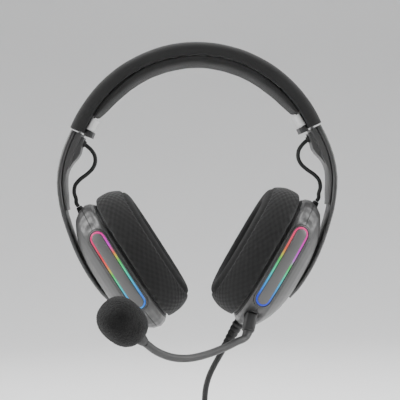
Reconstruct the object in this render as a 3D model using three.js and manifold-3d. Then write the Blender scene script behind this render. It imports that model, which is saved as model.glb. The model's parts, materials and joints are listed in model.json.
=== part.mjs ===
// Over-ear gaming headset with a detachable boom microphone and a lit panel on each cup.
// Millimetres, +Z up. +X is the wearer's left (microphone side), -Y is the wearer's front.
// The origin is the underside of the headband pad at its centre, where the head carries it.
import * as THREE from 'three';
import { mergeVertices } from 'three/addons/utils/BufferGeometryUtils.js';
import Module from 'manifold-3d';

const wasm = await Module();
wasm.setup();

// ---------------------------------------------------------------- driving dimensions
const GAP = 0.3; // free space kept between neighbouring pieces

// Headband: concentric arcs about BAND_CENTRE, angles are degrees from straight up.
const PAD_INNER_R = 81.5;
const PAD_OUTER_R = 88.6;
const COVER_EDGE_R = 89;
const COVER_WALL = 2.6;
const BAND_HALF_WIDTH = 19;
const BAND_END_HALF_WIDTH = 15;
const COVER_END = 67.4;
const PAD_END = 58.6;
const TAB_END = 65.1;
const BAND_CENTRE = new THREE.Vector3(0, 0, -PAD_INNER_R);

// Slider: a straight steel rail that leaves the band end at SLIDE_ANGLE below the horizontal.
const SLIDE_ANGLE = 60;
const RAIL_START_R = 92.6;
const RAIL_IN_BAND = 36;
const RAIL_IN_ARM = 13;
const RAIL_WIDTH = 13;
const RAIL_THICK = 1.6;

// Arm: outer profile by band angle, then a blade that follows the outside of the cup.
const ARM_START = 68;
const ARM_HALF_WIDTH = 12.5;
const BLADE_THICK = 3.7;
const ARM_INNER_END = 103;

// Cup: local x points outward from the rim plane, local z along the cup, y to the back.
const CUP_LEAN = 31.5;
const CUP_RIM_OUT = 75; // distance of the rim plane from the band centre
const CUP_CENTRE_UP = -25; // place of the cup centre along its own long axis
const CUP_POWER = 2.5; // roundness of the oval outline
const BULGE = { x: 6, len: 52.6 }; // the cup is longest here
const RIM = { len: 49.2, dep: 41 };
const RIDGE = { x: 16.7, len: 47.4, dep: 35 };
const DOME_RISE = 11.3;
const SHELL_WALL = 2.2;
const PART_LINE = 8.6;
const CHANNEL_HALF_WIDTH = 13.3;
const CHANNEL_FLOOR = 24.1;
const CHANNEL_TOP_FLOOR = 22.2; // deeper at its upper end, where the blade leaves the cup
const PIVOT_X = 18.6;
const PIN_R = 2;
const LUG_HALF_WIDTH = 4;

// Light panel: a racetrack on the front wall of the cup.
const PANEL_X = 8.6;
const PANEL_HALF_LEN = 26.5; // to the centres of the round ends
const BEZEL_R = 6.9;
const LIGHT_R = 4.8;
const LIGHT_HALF = 0.6;

// Ear cushion
const CUSHION = { len: 50, dep: 42, holeLen: 29.5, holeDep: 21, thick: 25.8 };

// Microphone
const BOOM_R = 2.65;
const FOAM_R = 14.6;
const FOAM_LEN = 34;

// Main cable
const CORD_R = 2.2;
const CORD_D = 2 * CORD_R;
const HANK_RUN = 66;
const HANK_INNER_R = 13.4;
const HANK_LAYERS = 2;
const HANK_ROWS = 5;
const USB_BODY = 22; // overmould
const USB_TIP = 18.7; // metal shell that stands out of it

// ---------------------------------------------------------------- materials
const finish = (color, roughness, metalness = 0) => ({ color, roughness, metalness });
const FINISH = {
  plastic: finish(0x55565a, 0.48),
  dark_plastic: finish(0x242427, 0.55),
  plate: finish(0x77787c, 0.4),
  tab: finish(0xd8d8da, 0.5),
  fabric: finish(0x36373a, 0.95),
  leatherette: finish(0x2b2b2d, 0.6),
  foam: finish(0x3c3d40, 1),
  rubber: finish(0x1d1d1f, 0.8),
  steel: finish(0xb8bbc0, 0.3, 1),
  board: finish(0x1f4a33, 0.6),
  light: finish(0xb9e6ee, 0.25),
};

const headset = new THREE.Group();

function add(parent, name, geometry, look) {
  const mesh = new THREE.Mesh(geometry, new THREE.MeshStandardMaterial(FINISH[look]));
  mesh.name = name;
  parent.add(mesh);
  return mesh;
}

// ---------------------------------------------------------------- solid helpers
const rad = THREE.MathUtils.degToRad;
const lerp = THREE.MathUtils.lerp;

function bare(geometry) {
  const copy = geometry.index ? geometry.toNonIndexed() : geometry.clone();
  copy.deleteAttribute('normal');
  copy.deleteAttribute('uv');
  return mergeVertices(copy, 1e-4);
}

function toSolid(geometry) {
  const g = bare(geometry);
  const vertProperties = new Float32Array(g.attributes.position.array);
  const triVerts = new Uint32Array(g.index.array);
  return new wasm.Manifold(new wasm.Mesh({ numProp: 3, vertProperties, triVerts }));
}

function toGeometry(solid) {
  const m = solid.getMesh();
  const g = new THREE.BufferGeometry();
  g.setAttribute('position', new THREE.BufferAttribute(new Float32Array(m.vertProperties), 3));
  g.setIndex(new THREE.BufferAttribute(new Uint32Array(m.triVerts), 1));
  g.computeVertexNormals();
  return g;
}

function cut(geometry, ...tools) {
  let solid = toSolid(geometry);
  for (const tool of tools) {
    solid = solid.subtract(toSolid(tool));
  }
  return toGeometry(solid);
}

function join(geometry, ...others) {
  let solid = toSolid(geometry);
  for (const other of others) {
    solid = solid.add(toSolid(other));
  }
  return toGeometry(solid);
}

function keepInside(geometry, region) {
  return toGeometry(toSolid(geometry).intersect(toSolid(region)));
}

function flipFaces(geometry) {
  const index = geometry.index.array;
  for (let i = 0; i < index.length; i += 3) {
    const swap = index[i + 1];
    index[i + 1] = index[i + 2];
    index[i + 2] = swap;
  }
  return geometry;
}

function volume(geometry) {
  const p = geometry.attributes.position;
  const index = geometry.index.array;
  const corners = [new THREE.Vector3(), new THREE.Vector3(), new THREE.Vector3()];
  let sum = 0;
  for (let i = 0; i < index.length; i += 3) {
    corners.forEach((c, k) => c.fromBufferAttribute(p, index[i + k]));
    sum += corners[0].dot(corners[1].cross(corners[2])) / 6;
  }
  return sum;
}

// Skin over a row of rings with equal point counts; ends are closed with a fan each,
// unless the row of rings is itself a closed loop.
function loft(rings, loop = false) {
  const n = rings[0].length;
  const positions = [];
  const index = [];
  for (const ring of rings) {
    for (const p of ring) {
      positions.push(p.x, p.y, p.z);
    }
  }
  const last = loop ? rings.length : rings.length - 1;
  for (let i = 0; i < last; i++) {
    const a = i * n;
    const b = ((i + 1) % rings.length) * n;
    for (let j = 0; j < n; j++) {
      const k = (j + 1) % n;
      index.push(a + j, a + k, b + k, a + j, b + k, b + j);
    }
  }
  if (!loop) {
    for (const [base, ring, turn] of [[0, rings[0], 1], [(rings.length - 1) * n, rings.at(-1), 0]]) {
      const centre = new THREE.Vector3();
      ring.forEach((p) => centre.addScaledVector(p, 1 / n));
      const c = positions.length / 3;
      positions.push(centre.x, centre.y, centre.z);
      for (let j = 0; j < n; j++) {
        const k = (j + 1) % n;
        const pair = turn ? [k, j] : [j, k];
        index.push(c, base + pair[0], base + pair[1]);
      }
    }
  }
  const g = new THREE.BufferGeometry();
  g.setAttribute('position', new THREE.Float32BufferAttribute(positions, 3));
  g.setIndex(index);
  if (volume(g) < 0) {
    flipFaces(g);
  }
  g.computeVertexNormals();
  return g;
}

function box(x0, x1, y0, y1, z0, z1) {
  const g = new THREE.BoxGeometry(x1 - x0, y1 - y0, z1 - z0);
  return g.translate((x0 + x1) / 2, (y0 + y1) / 2, (z0 + z1) / 2);
}

// Cylinder or cone between two points.
function rod(from, to, r0, r1 = r0, sides = 20) {
  const along = new THREE.Vector3().subVectors(to, from);
  const g = new THREE.CylinderGeometry(r1, r0, along.length(), sides);
  const turn = new THREE.Quaternion().setFromUnitVectors(
    new THREE.Vector3(0, 1, 0),
    along.clone().normalize(),
  );
  g.applyQuaternion(turn);
  const middle = new THREE.Vector3().addVectors(from, to).multiplyScalar(0.5);
  return g.translate(middle.x, middle.y, middle.z);
}

// Turned piece: profile of [radius, height] pairs, stood on a point and aimed along a direction.
function turned(profile, at, direction, sides = 24) {
  const points = profile.map(([r, h]) => new THREE.Vector2(r, h));
  const g = bare(new THREE.LatheGeometry(points, sides));
  if (volume(g) < 0) {
    flipFaces(g);
  }
  const aim = new THREE.Vector3(0, 1, 0);
  g.applyQuaternion(new THREE.Quaternion().setFromUnitVectors(aim, direction.clone().normalize()));
  g.translate(at.x, at.y, at.z);
  g.computeVertexNormals();
  return g;
}

// Round tube along a curve.
function tube(curve, radius, sides, steps) {
  const section = new THREE.Shape();
  section.absarc(0, 0, radius, 0, 2 * Math.PI, false);
  const options = { steps, curveSegments: sides / 2, extrudePath: curve, bevelEnabled: false };
  return new THREE.ExtrudeGeometry(section, options);
}

const at = (x, y, z) => new THREE.Vector3(x, y, z);
const through = (points) => new THREE.CatmullRomCurve3(points, false, 'centripetal');

function mirrored(geometry) {
  const g = geometry.index ? geometry.clone() : bare(geometry);
  g.scale(-1, 1, 1);
  flipFaces(g);
  g.computeVertexNormals();
  return g;
}

// ---------------------------------------------------------------- band-angle helpers
// Point at a band angle (degrees from straight up, towards +X) and radius, about the band centre.
function polar(angle, r, y = 0) {
  return at(r * Math.sin(rad(angle)), y, r * Math.cos(rad(angle)));
}

// Arc-shaped piece: section(angle) gives [radius, y] pairs.
function arcPiece(from, to, steps, section) {
  const rings = [];
  for (let i = 0; i <= steps; i++) {
    const angle = lerp(from, to, i / steps);
    rings.push(section(angle).map(([r, y]) => polar(angle, r, y)));
  }
  return loft(rings);
}

// Block section with cut corners, from radius r0 to r1.
function blockSection(r0, r1, halfWidth, chamfer) {
  const c = chamfer;
  const w = halfWidth;
  return [
    [r0, -w + c], [r0, w - c], [r0 + c, w], [r1 - c, w],
    [r1, w - c], [r1, -w + c], [r1 - c, -w], [r0 + c, -w],
  ];
}

// The band narrows from its crown to its ends.
function bandHalfWidth(angle) {
  const t = Math.abs(angle) / COVER_END;
  return lerp(BAND_HALF_WIDTH, BAND_END_HALF_WIDTH, t * t);
}

// ---------------------------------------------------------------- headband
function coverSection(angle) {
  const w = bandHalfWidth(angle);
  const crown = [[0, w], [6, w], [8.6, w - 2.4], [9.7, w - 7], [10.2, w - 13]];
  const outer = crown.map(([h, y]) => [COVER_EDGE_R + h, y]);
  const wall = COVER_WALL;
  const inner = [[0, w - wall], [5, w - wall], [6.8, w - wall - 1.6], [7.5, w - wall - 5]];
  const hollow = inner.map(([h, y]) => [COVER_EDGE_R + h, y]);
  const flip = (list) => list.map(([r, y]) => [r, -y]).reverse();
  return [...outer, ...flip(outer), ...flip(hollow).reverse(), ...hollow.reverse()];
}

function padSection(angle) {
  const w = bandHalfWidth(angle) - 0.5;
  const side = [[PAD_OUTER_R, w], [85.4, w + 0.2], [83.1, w - 1.6], [81.9, w - 6], [PAD_INNER_R, 3]];
  return [...side, ...side.map(([r, y]) => [r, -y]).reverse()];
}

function slideFrame() {
  const dir = at(Math.cos(rad(SLIDE_ANGLE)), 0, -Math.sin(rad(SLIDE_ANGLE)));
  const out = at(Math.sin(rad(SLIDE_ANGLE)), 0, Math.cos(rad(SLIDE_ANGLE)));
  const start = polar(COVER_END, RAIL_START_R);
  const m = new THREE.Matrix4().makeBasis(out, at(0, 1, 0), dir.clone().negate());
  return m.setPosition(start);
}

// Straight bar along the slide direction, from inside the band to inside the arm.
function railBar(grow, inBand, inArm) {
  const t = RAIL_THICK / 2 + grow;
  const w = RAIL_WIDTH / 2 + grow;
  return box(-t, t, -w, w, -inArm, inBand).applyMatrix4(slideFrame());
}

function sliderHousing() {
  const section = (angle) => blockSection(COVER_EDGE_R + GAP, 95, bandHalfWidth(angle) - 3.3, 1.6);
  const body = arcPiece(45.5, COVER_END - 0.2, 8, section);
  const lip = arcPiece(TAB_END + 0.3, 68.4, 2, () => blockSection(82.6, 88.7, 10.5, 1.4));
  const neck = arcPiece(TAB_END + 0.3, COVER_END - 0.2, 1, () => blockSection(87, 92, 9, 0.8));
  return cut(join(body, lip, neck), railBar(0.35, RAIL_IN_BAND + 3, 6));
}

function buildHeadband() {
  const band = new THREE.Group();
  band.position.copy(BAND_CENTRE);
  add(band, 'headband_cover', arcPiece(-COVER_END, COVER_END, 26, coverSection), 'fabric');
  add(band, 'headband_pad', arcPiece(-PAD_END, PAD_END, 24, padSection), 'leatherette');
  const spring = arcPiece(-44, 44, 14, () => blockSection(91.5, 92.7, 9, 0.3));
  add(band, 'headband_spring', spring, 'steel');
  const tab = arcPiece(PAD_END + 0.4, TAB_END, 3, () => blockSection(83.6, 88.4, 11.5, 1.2));
  const housing = sliderHousing();
  for (const [name, place] of [['left', (g) => g], ['right', mirrored]]) {
    add(band, `slider_housing_${name}`, place(housing), 'dark_plastic');
    add(band, `band_tab_${name}`, place(tab), 'tab');
  }
  headset.add(band);
}

// ---------------------------------------------------------------- cup frame
// Matrix from cup coordinates to the frame of the band centre, for the left cup.
function cupMatrix() {
  const turn = new THREE.Matrix4().makeRotationY(rad(CUP_LEAN));
  const origin = at(CUP_RIM_OUT, 0, CUP_CENTRE_UP).applyMatrix4(turn);
  return turn.setPosition(origin);
}

// ---------------------------------------------------------------- arms
// Outer edge of the arm: round with the band, then straighter along the cup.
const armOuter = new THREE.CatmullRomCurve3([
  polar(ARM_START, 98.9),
  polar(76, 100.6),
  polar(84, 102.3),
  polar(92, 103.3),
  polar(103, 103.5),
  polar(112, 103.9),
  polar(121, 105.7),
  polar(130, 108.2),
  polar(138, 110.9),
  polar(143.6, 112.9),
], false, 'centripetal');

// Direction that points away from the band centre side, square to the outer edge.
function armNormal(t) {
  const tangent = armOuter.getTangentAt(t);
  return at(-tangent.z, 0, tangent.x);
}

// Point on the arm: t along it, depth below the outer edge, y across.
function armPoint(t, depth, y) {
  const p = armOuter.getPointAt(t).addScaledVector(armNormal(t), -depth);
  return p.setY(y);
}

// Cross-section of the arm between two depths; the outer side is gently crowned.
function armRing(t, outerDepth, innerDepth, halfWidth, chamfer) {
  const c = chamfer;
  const w = halfWidth;
  const crown = outerDepth === 0 ? 0.7 : 0;
  const points = [
    [outerDepth, 0], [outerDepth + 0.3 * crown, 0.5 * w], [outerDepth + crown, w - c],
    [outerDepth + crown + c, w], [innerDepth - c, w], [innerDepth, w - c],
    [innerDepth, -w + c], [innerDepth - c, -w], [outerDepth + crown + c, -w],
    [outerDepth + crown, -w + c], [outerDepth + 0.3 * crown, -0.5 * w],
  ];
  return points.map(([depth, y]) => armPoint(t, depth, y));
}

function armOuterCover() {
  const rings = [];
  const steps = 17;
  const tipStart = 0.9;
  for (let i = 0; i <= steps; i++) {
    const t = i / steps;
    const tip = Math.max(0, (t - tipStart) / (1 - tipStart));
    const halfWidth = ARM_HALF_WIDTH * (tip < 1 ? Math.sqrt(1 - 0.75 * tip * tip) : 0.5);
    rings.push(armRing(t, 0, lerp(4.3, BLADE_THICK, t), halfWidth, 0.9));
  }
  return loft(rings);
}

// The pivot lug stands on the inside of the blade and reaches into the cup.
function pivotLug() {
  const top = 29.5;
  const eye = rod(at(PIVOT_X, -LUG_HALF_WIDTH, 0), at(PIVOT_X, LUG_HALF_WIDTH, 0), 4, 4, 24);
  const neck = box(PIVOT_X, top, -LUG_HALF_WIDTH, LUG_HALF_WIDTH, -4, 4);
  const bore = rod(at(PIVOT_X, -9, 0), at(PIVOT_X, 9, 0), PIN_R + 0.2, PIN_R + 0.2, 24);
  return cut(join(eye, neck), bore).applyMatrix4(cupMatrix());
}

const armEnd = ARM_INNER_END;

// How far along the arm a band angle lies.
function armParameter(angle) {
  let best = 0;
  for (let t = 0; t <= 1; t += 0.002) {
    const p = armOuter.getPointAt(t);
    if (THREE.MathUtils.radToDeg(Math.atan2(p.x, p.z)) <= angle) {
      best = t;
    }
  }
  return best;
}

function armInnerCover() {
  const end = armParameter(armEnd);
  const stepFrom = armParameter(80);
  const stepTo = armParameter(88);
  const rings = [];
  const steps = 16;
  for (let i = 0; i <= steps; i++) {
    const t = (end * i) / steps;
    const rise = THREE.MathUtils.smoothstep(t, stepFrom, stepTo);
    const taper = THREE.MathUtils.smoothstep(t, 0.8 * end, end);
    const inner = lerp(lerp(9.2, 6.9, rise), 5.6, taper);
    rings.push(armRing(t, 4.3 + GAP, inner, ARM_HALF_WIDTH - 0.4, 0.6));
  }
  const boss = arcPiece(69.5, 85, 6, (angle) => {
    const slope = THREE.MathUtils.smoothstep(angle, 77, 86);
    return blockSection(lerp(87.6, 94.5, slope), lerp(93.5, 97, slope), 8.5, 0.7);
  });
  return join(loft(rings), boss);
}

// Glands point along the first and last stretch of the link cable.
const GLAND_AT_ARM = polar(72.2, 87.7);
const LINK_ROUTE = [
  at(81.7, 0, 25.6),
  at(78.2, -0.8, 22.4),
  at(75.4, -1.6, 18),
  at(75, -2.2, 12.8),
  at(77.2, -2.5, 8),
  at(81.6, -2.5, 3.9),
  at(86.4, -2.3, 0.4),
  at(90.1, -1.8, -3.9),
  at(91, -1.2, -9.2),
  at(89.8, -0.6, -14),
];
const CUP_GLAND_X = 10.4;
const CUP_GLAND_BASE = 47.4;
const CUP_GLAND_TOP = 54.2;

function buildArm(name, place) {
  const arm = new THREE.Group();
  arm.position.copy(BAND_CENTRE);
  const pocket = railBar(GAP, 1, RAIL_IN_ARM + GAP);
  const outer = join(cut(armOuterCover(), pocket), pivotLug());
  const glandBase = GLAND_AT_ARM.clone();
  const glandTip = LINK_ROUTE[0];
  const glandDir = new THREE.Vector3().subVectors(glandTip, glandBase).normalize();
  const root = glandBase.clone().addScaledVector(glandDir, -1.2);
  const end = glandTip.clone().addScaledVector(glandDir, -GAP);
  const gland = rod(root, end, 3, 2.2, 16);
  const inner = cut(armInnerCover(), pocket, rod(root.clone().addScaledVector(glandDir, -GAP), end, 3.3, 3.3, 16));
  add(arm, `arm_outer_cover_${name}`, place(outer), 'plastic');
  add(arm, `arm_inner_cover_${name}`, place(inner), 'plastic');
  add(arm, `slider_rail_${name}`, place(railBar(0, RAIL_IN_BAND, RAIL_IN_ARM)), 'steel');
  add(arm, `arm_gland_${name}`, place(gland), 'rubber');
  headset.add(arm);
}

// ---------------------------------------------------------------- cup shapes
// Outline of the cup at a height x above the rim plane: half length and half depth.
function outline(height) {
  const x = Math.max(0, height);
  if (x <= RIDGE.x) {
    const end = x < BULGE.x ? { x: 0, len: RIM.len } : RIDGE;
    const t = (x - BULGE.x) / (end.x - BULGE.x);
    const s = x / RIDGE.x;
    return { len: lerp(BULGE.len, end.len, t * t), dep: lerp(RIM.dep, RIDGE.dep, s * s) };
  }
  const share = Math.cbrt(Math.max(0, 1 - (x - RIDGE.x) / DOME_RISE));
  return { len: RIDGE.len * share, dep: RIDGE.dep * share };
}

// Oval ring at height x with given half length and half depth.
function oval(x, len, dep, sides = 36, power = CUP_POWER) {
  const ring = [];
  for (let i = 0; i < sides; i++) {
    const a = (2 * Math.PI * i) / sides;
    const c = Math.cos(a);
    const s = Math.sin(a);
    const k = 2 / power;
    const y = dep * Math.sign(s) * Math.abs(s) ** k;
    const z = len * Math.sign(c) * Math.abs(c) ** k;
    ring.push(at(x, y, z));
  }
  return ring;
}

const DOME_STEPS = [0.92, 0.8, 0.65, 0.46, 0.24];

// Full outer form of the cup, or the same form shrunk by a wall for its hollow.
function cupForm(from, wall, topLimit) {
  const heights = [from, Math.max(0, from), 2.5, BULGE.x, 11.5, RIDGE.x - wall * 0.4];
  const sides = wall ? 28 : 36;
  const rings = [...new Set(heights)].map((x) => {
    const o = outline(x);
    return oval(x, o.len - wall, o.dep - wall, sides);
  });
  for (const share of DOME_STEPS) {
    const x = Math.min(topLimit, RIDGE.x + DOME_RISE * (1 - share ** 3) - wall);
    rings.push(oval(x, (RIDGE.len - wall) * share, (RIDGE.dep - wall) * share, sides));
  }
  return loft(rings);
}

// Height of the front wall: distance from the mid plane at (x, z).
function wallDepth(x, z) {
  const o = outline(x);
  return o.dep * (1 - Math.min(1, Math.abs(z / o.len)) ** CUP_POWER) ** (1 / CUP_POWER);
}

// Point on the front wall, raised outward by a height along the wall's own normal.
function wallPoint(x, z, height) {
  const e = 0.05;
  const dx = (wallDepth(x + e, z) - wallDepth(x - e, z)) / (2 * e);
  const dz = (wallDepth(x, z + e) - wallDepth(x, z - e)) / (2 * e);
  const normal = at(-dx, -1, -dz).normalize();
  normal.x = -dx / Math.hypot(dx, 1, dz);
  return at(x, -wallDepth(x, z), z).addScaledVector(normal, height);
}

// Racetrack outline in the plane of the panel at distance r from its centre line.
function racetrack(r, capSteps = 8, sideSteps = 6) {
  const points = [];
  for (const end of [1, -1]) {
    for (let i = 0; i <= capSteps; i++) {
      const a = Math.PI * (i / capSteps);
      points.push([PANEL_X + end * r * Math.cos(a), end * (PANEL_HALF_LEN + r * Math.sin(a))]);
    }
    for (let i = 1; i < sideSteps; i++) {
      points.push([PANEL_X - end * r, end * lerp(PANEL_HALF_LEN, -PANEL_HALF_LEN, i / sideSteps)]);
    }
  }
  return points;
}

// Closed band on the wall whose section is a list of [distance from centre line, height].
function wallBand(section) {
  const tracks = section.map(([r]) => racetrack(r));
  const rings = tracks[0].map((_, i) =>
    section.map(([, height], k) => wallPoint(tracks[k][i][0], tracks[k][i][1], height)),
  );
  return loft(rings, true);
}

// Racetrack-shaped plate on the wall, up to distance r from the centre line.
function wallPlate(r, low, high) {
  const stations = [];
  for (let i = 0; i <= 5; i++) {
    const a = rad(lerp(84, 0, i / 5));
    stations.push([-PANEL_HALF_LEN - r * Math.sin(a), r * Math.cos(a)]);
  }
  for (let i = 1; i < 8; i++) {
    stations.push([lerp(-PANEL_HALF_LEN, PANEL_HALF_LEN, i / 8), r]);
  }
  for (let i = 0; i <= 5; i++) {
    const a = rad(lerp(0, 84, i / 5));
    stations.push([PANEL_HALF_LEN + r * Math.sin(a), r * Math.cos(a)]);
  }
  const rings = stations.map(([z, w]) => {
    const top = [-1, -0.5, 0, 0.5, 1].map((k) => wallPoint(PANEL_X + k * w, z, high));
    const bottom = [1, 0, -1].map((k) => wallPoint(PANEL_X + k * w, z, low));
    return [...top, ...bottom];
  });
  return loft(rings);
}

function domeTools() {
  const side = [
    [CHANNEL_FLOOR, -60], [CHANNEL_FLOOR, 19], [CHANNEL_TOP_FLOOR, 36], [CHANNEL_TOP_FLOOR, 60],
    [40, 60], [40, -60],
  ];
  const channel = loft([-1, 1].map((s) => side.map(([x, z]) => at(x, s * CHANNEL_HALF_WIDTH, z))));
  const slot = box(PIVOT_X, 40, -LUG_HALF_WIDTH - 0.8, LUG_HALF_WIDTH + 0.8, -6.2, 6.2);
  return [channel, slot];
}

function aboveSeam() {
  return box(PART_LINE + GAP / 2, 60, -70, 70, -70, 70);
}

function belowSeam() {
  return box(-5, PART_LINE - GAP / 2, -70, 70, -70, 70);
}

const DOME_INSIDE = 22.7;

function cupBlank() {
  const form = cupForm(0, 0, 99);
  const hollow = cupForm(-4, SHELL_WALL, DOME_INSIDE);
  return cut(form, hollow, wallPlate(BEZEL_R + GAP, -4.5, 2.5));
}

function glandHole() {
  return rod(at(CUP_GLAND_X, 0, 42), at(CUP_GLAND_X, 0, 62), 3.3, 3.3, 16);
}

// ---------------------------------------------------------------- parts inside each cup
function pivotBracket() {
  const earIn = LUG_HALF_WIDTH + 0.5;
  const earOut = earIn + 3;
  const base = box(10.6, 13.2, -11, 11, -8, 8);
  const ears = [1, -1].map((s) => {
    const y = [s * earIn, s * earOut].sort((a, b) => a - b);
    return box(12, 22.4, y[0], y[1], -5, 5);
  });
  const bore = rod(at(PIVOT_X, -12, 0), at(PIVOT_X, 12, 0), PIN_R + 0.2, PIN_R + 0.2, 24);
  return cut(join(base, ...ears), bore);
}

function bafflePlate() {
  const inside = SHELL_WALL + 0.6;
  const plate = loft([
    oval(-0.9, RIM.len - 1, RIM.dep - 1),
    oval(-GAP, RIM.len - 1, RIM.dep - 1),
    oval(-GAP, RIM.len - inside, RIM.dep - inside),
    oval(0.9, RIM.len - inside, RIM.dep - inside),
  ]);
  const holes = [rod(at(-3, 0, 0), at(5, 0, 0), 3.2, 3.2, 10)];
  for (let i = 0; i < 6; i++) {
    const a = (2 * Math.PI * i) / 6;
    const y = 11.5 * Math.cos(a);
    const z = 11.5 * Math.sin(a);
    holes.push(rod(at(-3, y, z), at(5, y, z), 3.2, 3.2, 10));
  }
  return cut(plate, ...holes);
}

function speakerDriver() {
  const profile = [[0, 0], [20, 0], [20, 3.2], [17.5, 4.6], [11, 6], [11, 8], [0, 8]];
  return turned(profile, at(1.8, 0, 0), at(1, 0, 0), 24);
}

function cushionRing() {
  const section = [[-1.2, 0.9], [-2.4, 0.9]];
  const rings = [];
  const steps = 40;
  const outer = section.map(([x]) => oval(x, RIM.len - 2.2, RIM.dep - 2.2, steps));
  const inner = section.map(([x]) => oval(x, RIM.len - 10, RIM.dep - 10, steps));
  for (let i = 0; i < steps; i++) {
    rings.push([outer[0][i], outer[1][i], inner[1][i], inner[0][i]]);
  }
  return loft(rings, true);
}

function earScreen() {
  const half = { len: CUSHION.holeLen + 5, dep: CUSHION.holeDep + 5 };
  return loft([oval(-1.2, half.len, half.dep, 32, 2.2), oval(-2.1, half.len, half.dep, 32, 2.2)]);
}

// Cushion: share runs from the hole (0) to the outside (1), height from the rim to the face.
function earCushion() {
  const base = -2.7;
  const t = CUSHION.thick - 2.4;
  const profile = [
    [0.02, 0], [0.97, 0], [1, 0.18], [0.985, 0.42], [0.9, 0.66], [0.74, 0.87], [0.46, 1],
    [0.2, 1], [0.05, 0.86], [0, 0.6],
  ];
  const steps = 32;
  const hole = oval(0, CUSHION.holeLen, CUSHION.holeDep, steps, 2.2);
  const edge = oval(0, CUSHION.len, CUSHION.dep, steps);
  const rings = hole.map((inner, i) =>
    profile.map(([share, height]) => {
      const p = inner.clone().lerp(edge[i], share);
      return p.setX(base - t * height);
    }),
  );
  return loft(rings, true);
}

function linkCable() {
  const toCup = cupMatrix();
  const entry = at(CUP_GLAND_X, 0, CUP_GLAND_TOP + GAP).applyMatrix4(toCup);
  const before = at(CUP_GLAND_X, 0, CUP_GLAND_TOP + 3.2).applyMatrix4(toCup);
  return tube(through([...LINK_ROUTE, before, entry]), 1.4, 8, 26);
}

function buildCup(name, side, place) {
  const cup = new THREE.Group();
  cup.position.copy(BAND_CENTRE);
  cupMatrix().decompose(cup.position, cup.quaternion, cup.scale);
  cup.position.x *= side;
  cup.position.add(BAND_CENTRE);
  cup.rotation.set(0, side * rad(CUP_LEAN), 0);
  const isMicSide = side > 0;
  const blank = cut(cupBlank(), glandHole());
  let outer = cut(keepInside(blank, aboveSeam()), ...domeTools());
  let inner = keepInside(blank, belowSeam());
  if (isMicSide) {
    const controls = [wheelSlot(), buttonHole()];
    outer = cut(outer, ...controls, ...bottomOpenings());
    inner = cut(inner, ...bottomOpenings());
  }
  add(cup, `cup_outer_shell_${name}`, place(outer), 'plastic');
  add(cup, `cup_inner_shell_${name}`, place(inner), 'plastic');

  const bezel = [
    [BEZEL_R, -1.8], [BEZEL_R, 0.1], [BEZEL_R - 0.3, 0.4],
    [LIGHT_R + LIGHT_HALF + 0.25, 0.4], [LIGHT_R + LIGHT_HALF + 0.25, -1.8],
  ];
  const light = [
    [LIGHT_R + LIGHT_HALF, -1.8], [LIGHT_R + LIGHT_HALF, 0.1], [LIGHT_R, 0.45],
    [LIGHT_R - LIGHT_HALF, 0.1], [LIGHT_R - LIGHT_HALF, -1.8],
  ];
  add(cup, `panel_bezel_${name}`, place(wallBand(bezel)), 'dark_plastic');
  add(cup, `light_guide_${name}`, place(wallBand(light)), 'light');
  add(cup, `panel_plate_${name}`, place(wallPlate(LIGHT_R - LIGHT_HALF - 0.25, -1.8, 0.3)), 'plate');

  add(cup, `pivot_bracket_${name}`, place(pivotBracket()), 'steel');
  const pin = rod(at(PIVOT_X, -8.5, 0), at(PIVOT_X, 8.5, 0), PIN_R, PIN_R, 24);
  add(cup, `pivot_pin_${name}`, place(pin), 'steel');
  add(cup, `baffle_plate_${name}`, place(bafflePlate()), 'dark_plastic');
  add(cup, `speaker_driver_${name}`, place(speakerDriver()), 'dark_plastic');
  add(cup, `cushion_ring_${name}`, place(cushionRing()), 'dark_plastic');
  add(cup, `ear_screen_${name}`, place(earScreen()), 'fabric');
  add(cup, `ear_cushion_${name}`, place(earCushion()), 'fabric');
  const gland = turned(
    [[0, 0], [3, 0], [3, 2.5], [2.1, 6.8], [0, 6.8]],
    at(CUP_GLAND_X, 0, CUP_GLAND_BASE),
    at(0, 0, 1),
    16,
  );
  add(cup, `cup_gland_${name}`, place(gland), 'rubber');
  if (isMicSide) {
    buildControls(cup);
    buildCableBoot(cup);
  }
  headset.add(cup);

  const link = add(headset, `link_cable_${name}`, place(linkCable()), 'rubber');
  link.position.copy(BAND_CENTRE);
}

// ---------------------------------------------------------------- controls, left cup only
const WHEEL = { x: 12.6, z: 6, r: 8, half: 1.8, y: 32.4 };
const BUTTON = { x: 12.6, z: -15, r: 3.4, inside: 5.2 };
const WALL_SLOPE = (2 * (RIM.dep - RIDGE.dep) * BUTTON.x) / RIDGE.x ** 2;
const BUTTON_AXIS = at(WALL_SLOPE, 1, 0).normalize();

function wheelSlot() {
  const from = at(WHEEL.x - WHEEL.half - 0.4, WHEEL.y, WHEEL.z);
  const to = at(WHEEL.x + WHEEL.half + 0.4, WHEEL.y, WHEEL.z);
  return rod(from, to, WHEEL.r + 0.5, WHEEL.r + 0.5, 32);
}

// Point on the button's axis at a height above the rear wall.
function buttonPoint(height) {
  const foot = at(BUTTON.x, wallDepth(BUTTON.x, BUTTON.z), BUTTON.z);
  return foot.addScaledVector(BUTTON_AXIS, height);
}

function buttonHole() {
  const r = BUTTON.r + 0.35;
  return rod(buttonPoint(-8), buttonPoint(8), r, r, 20);
}

function volumeWheel() {
  const ribs = 20;
  const rings = [-1, 1].map((s) => {
    const ring = [];
    for (let i = 0; i < ribs * 2; i++) {
      const a = (Math.PI * i) / ribs;
      const r = i % 2 ? WHEEL.r : WHEEL.r - 0.5;
      ring.push(at(WHEEL.x + s * WHEEL.half, WHEEL.y + r * Math.cos(a), WHEEL.z + r * Math.sin(a)));
    }
    return ring;
  });
  return loft(rings);
}

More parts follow.
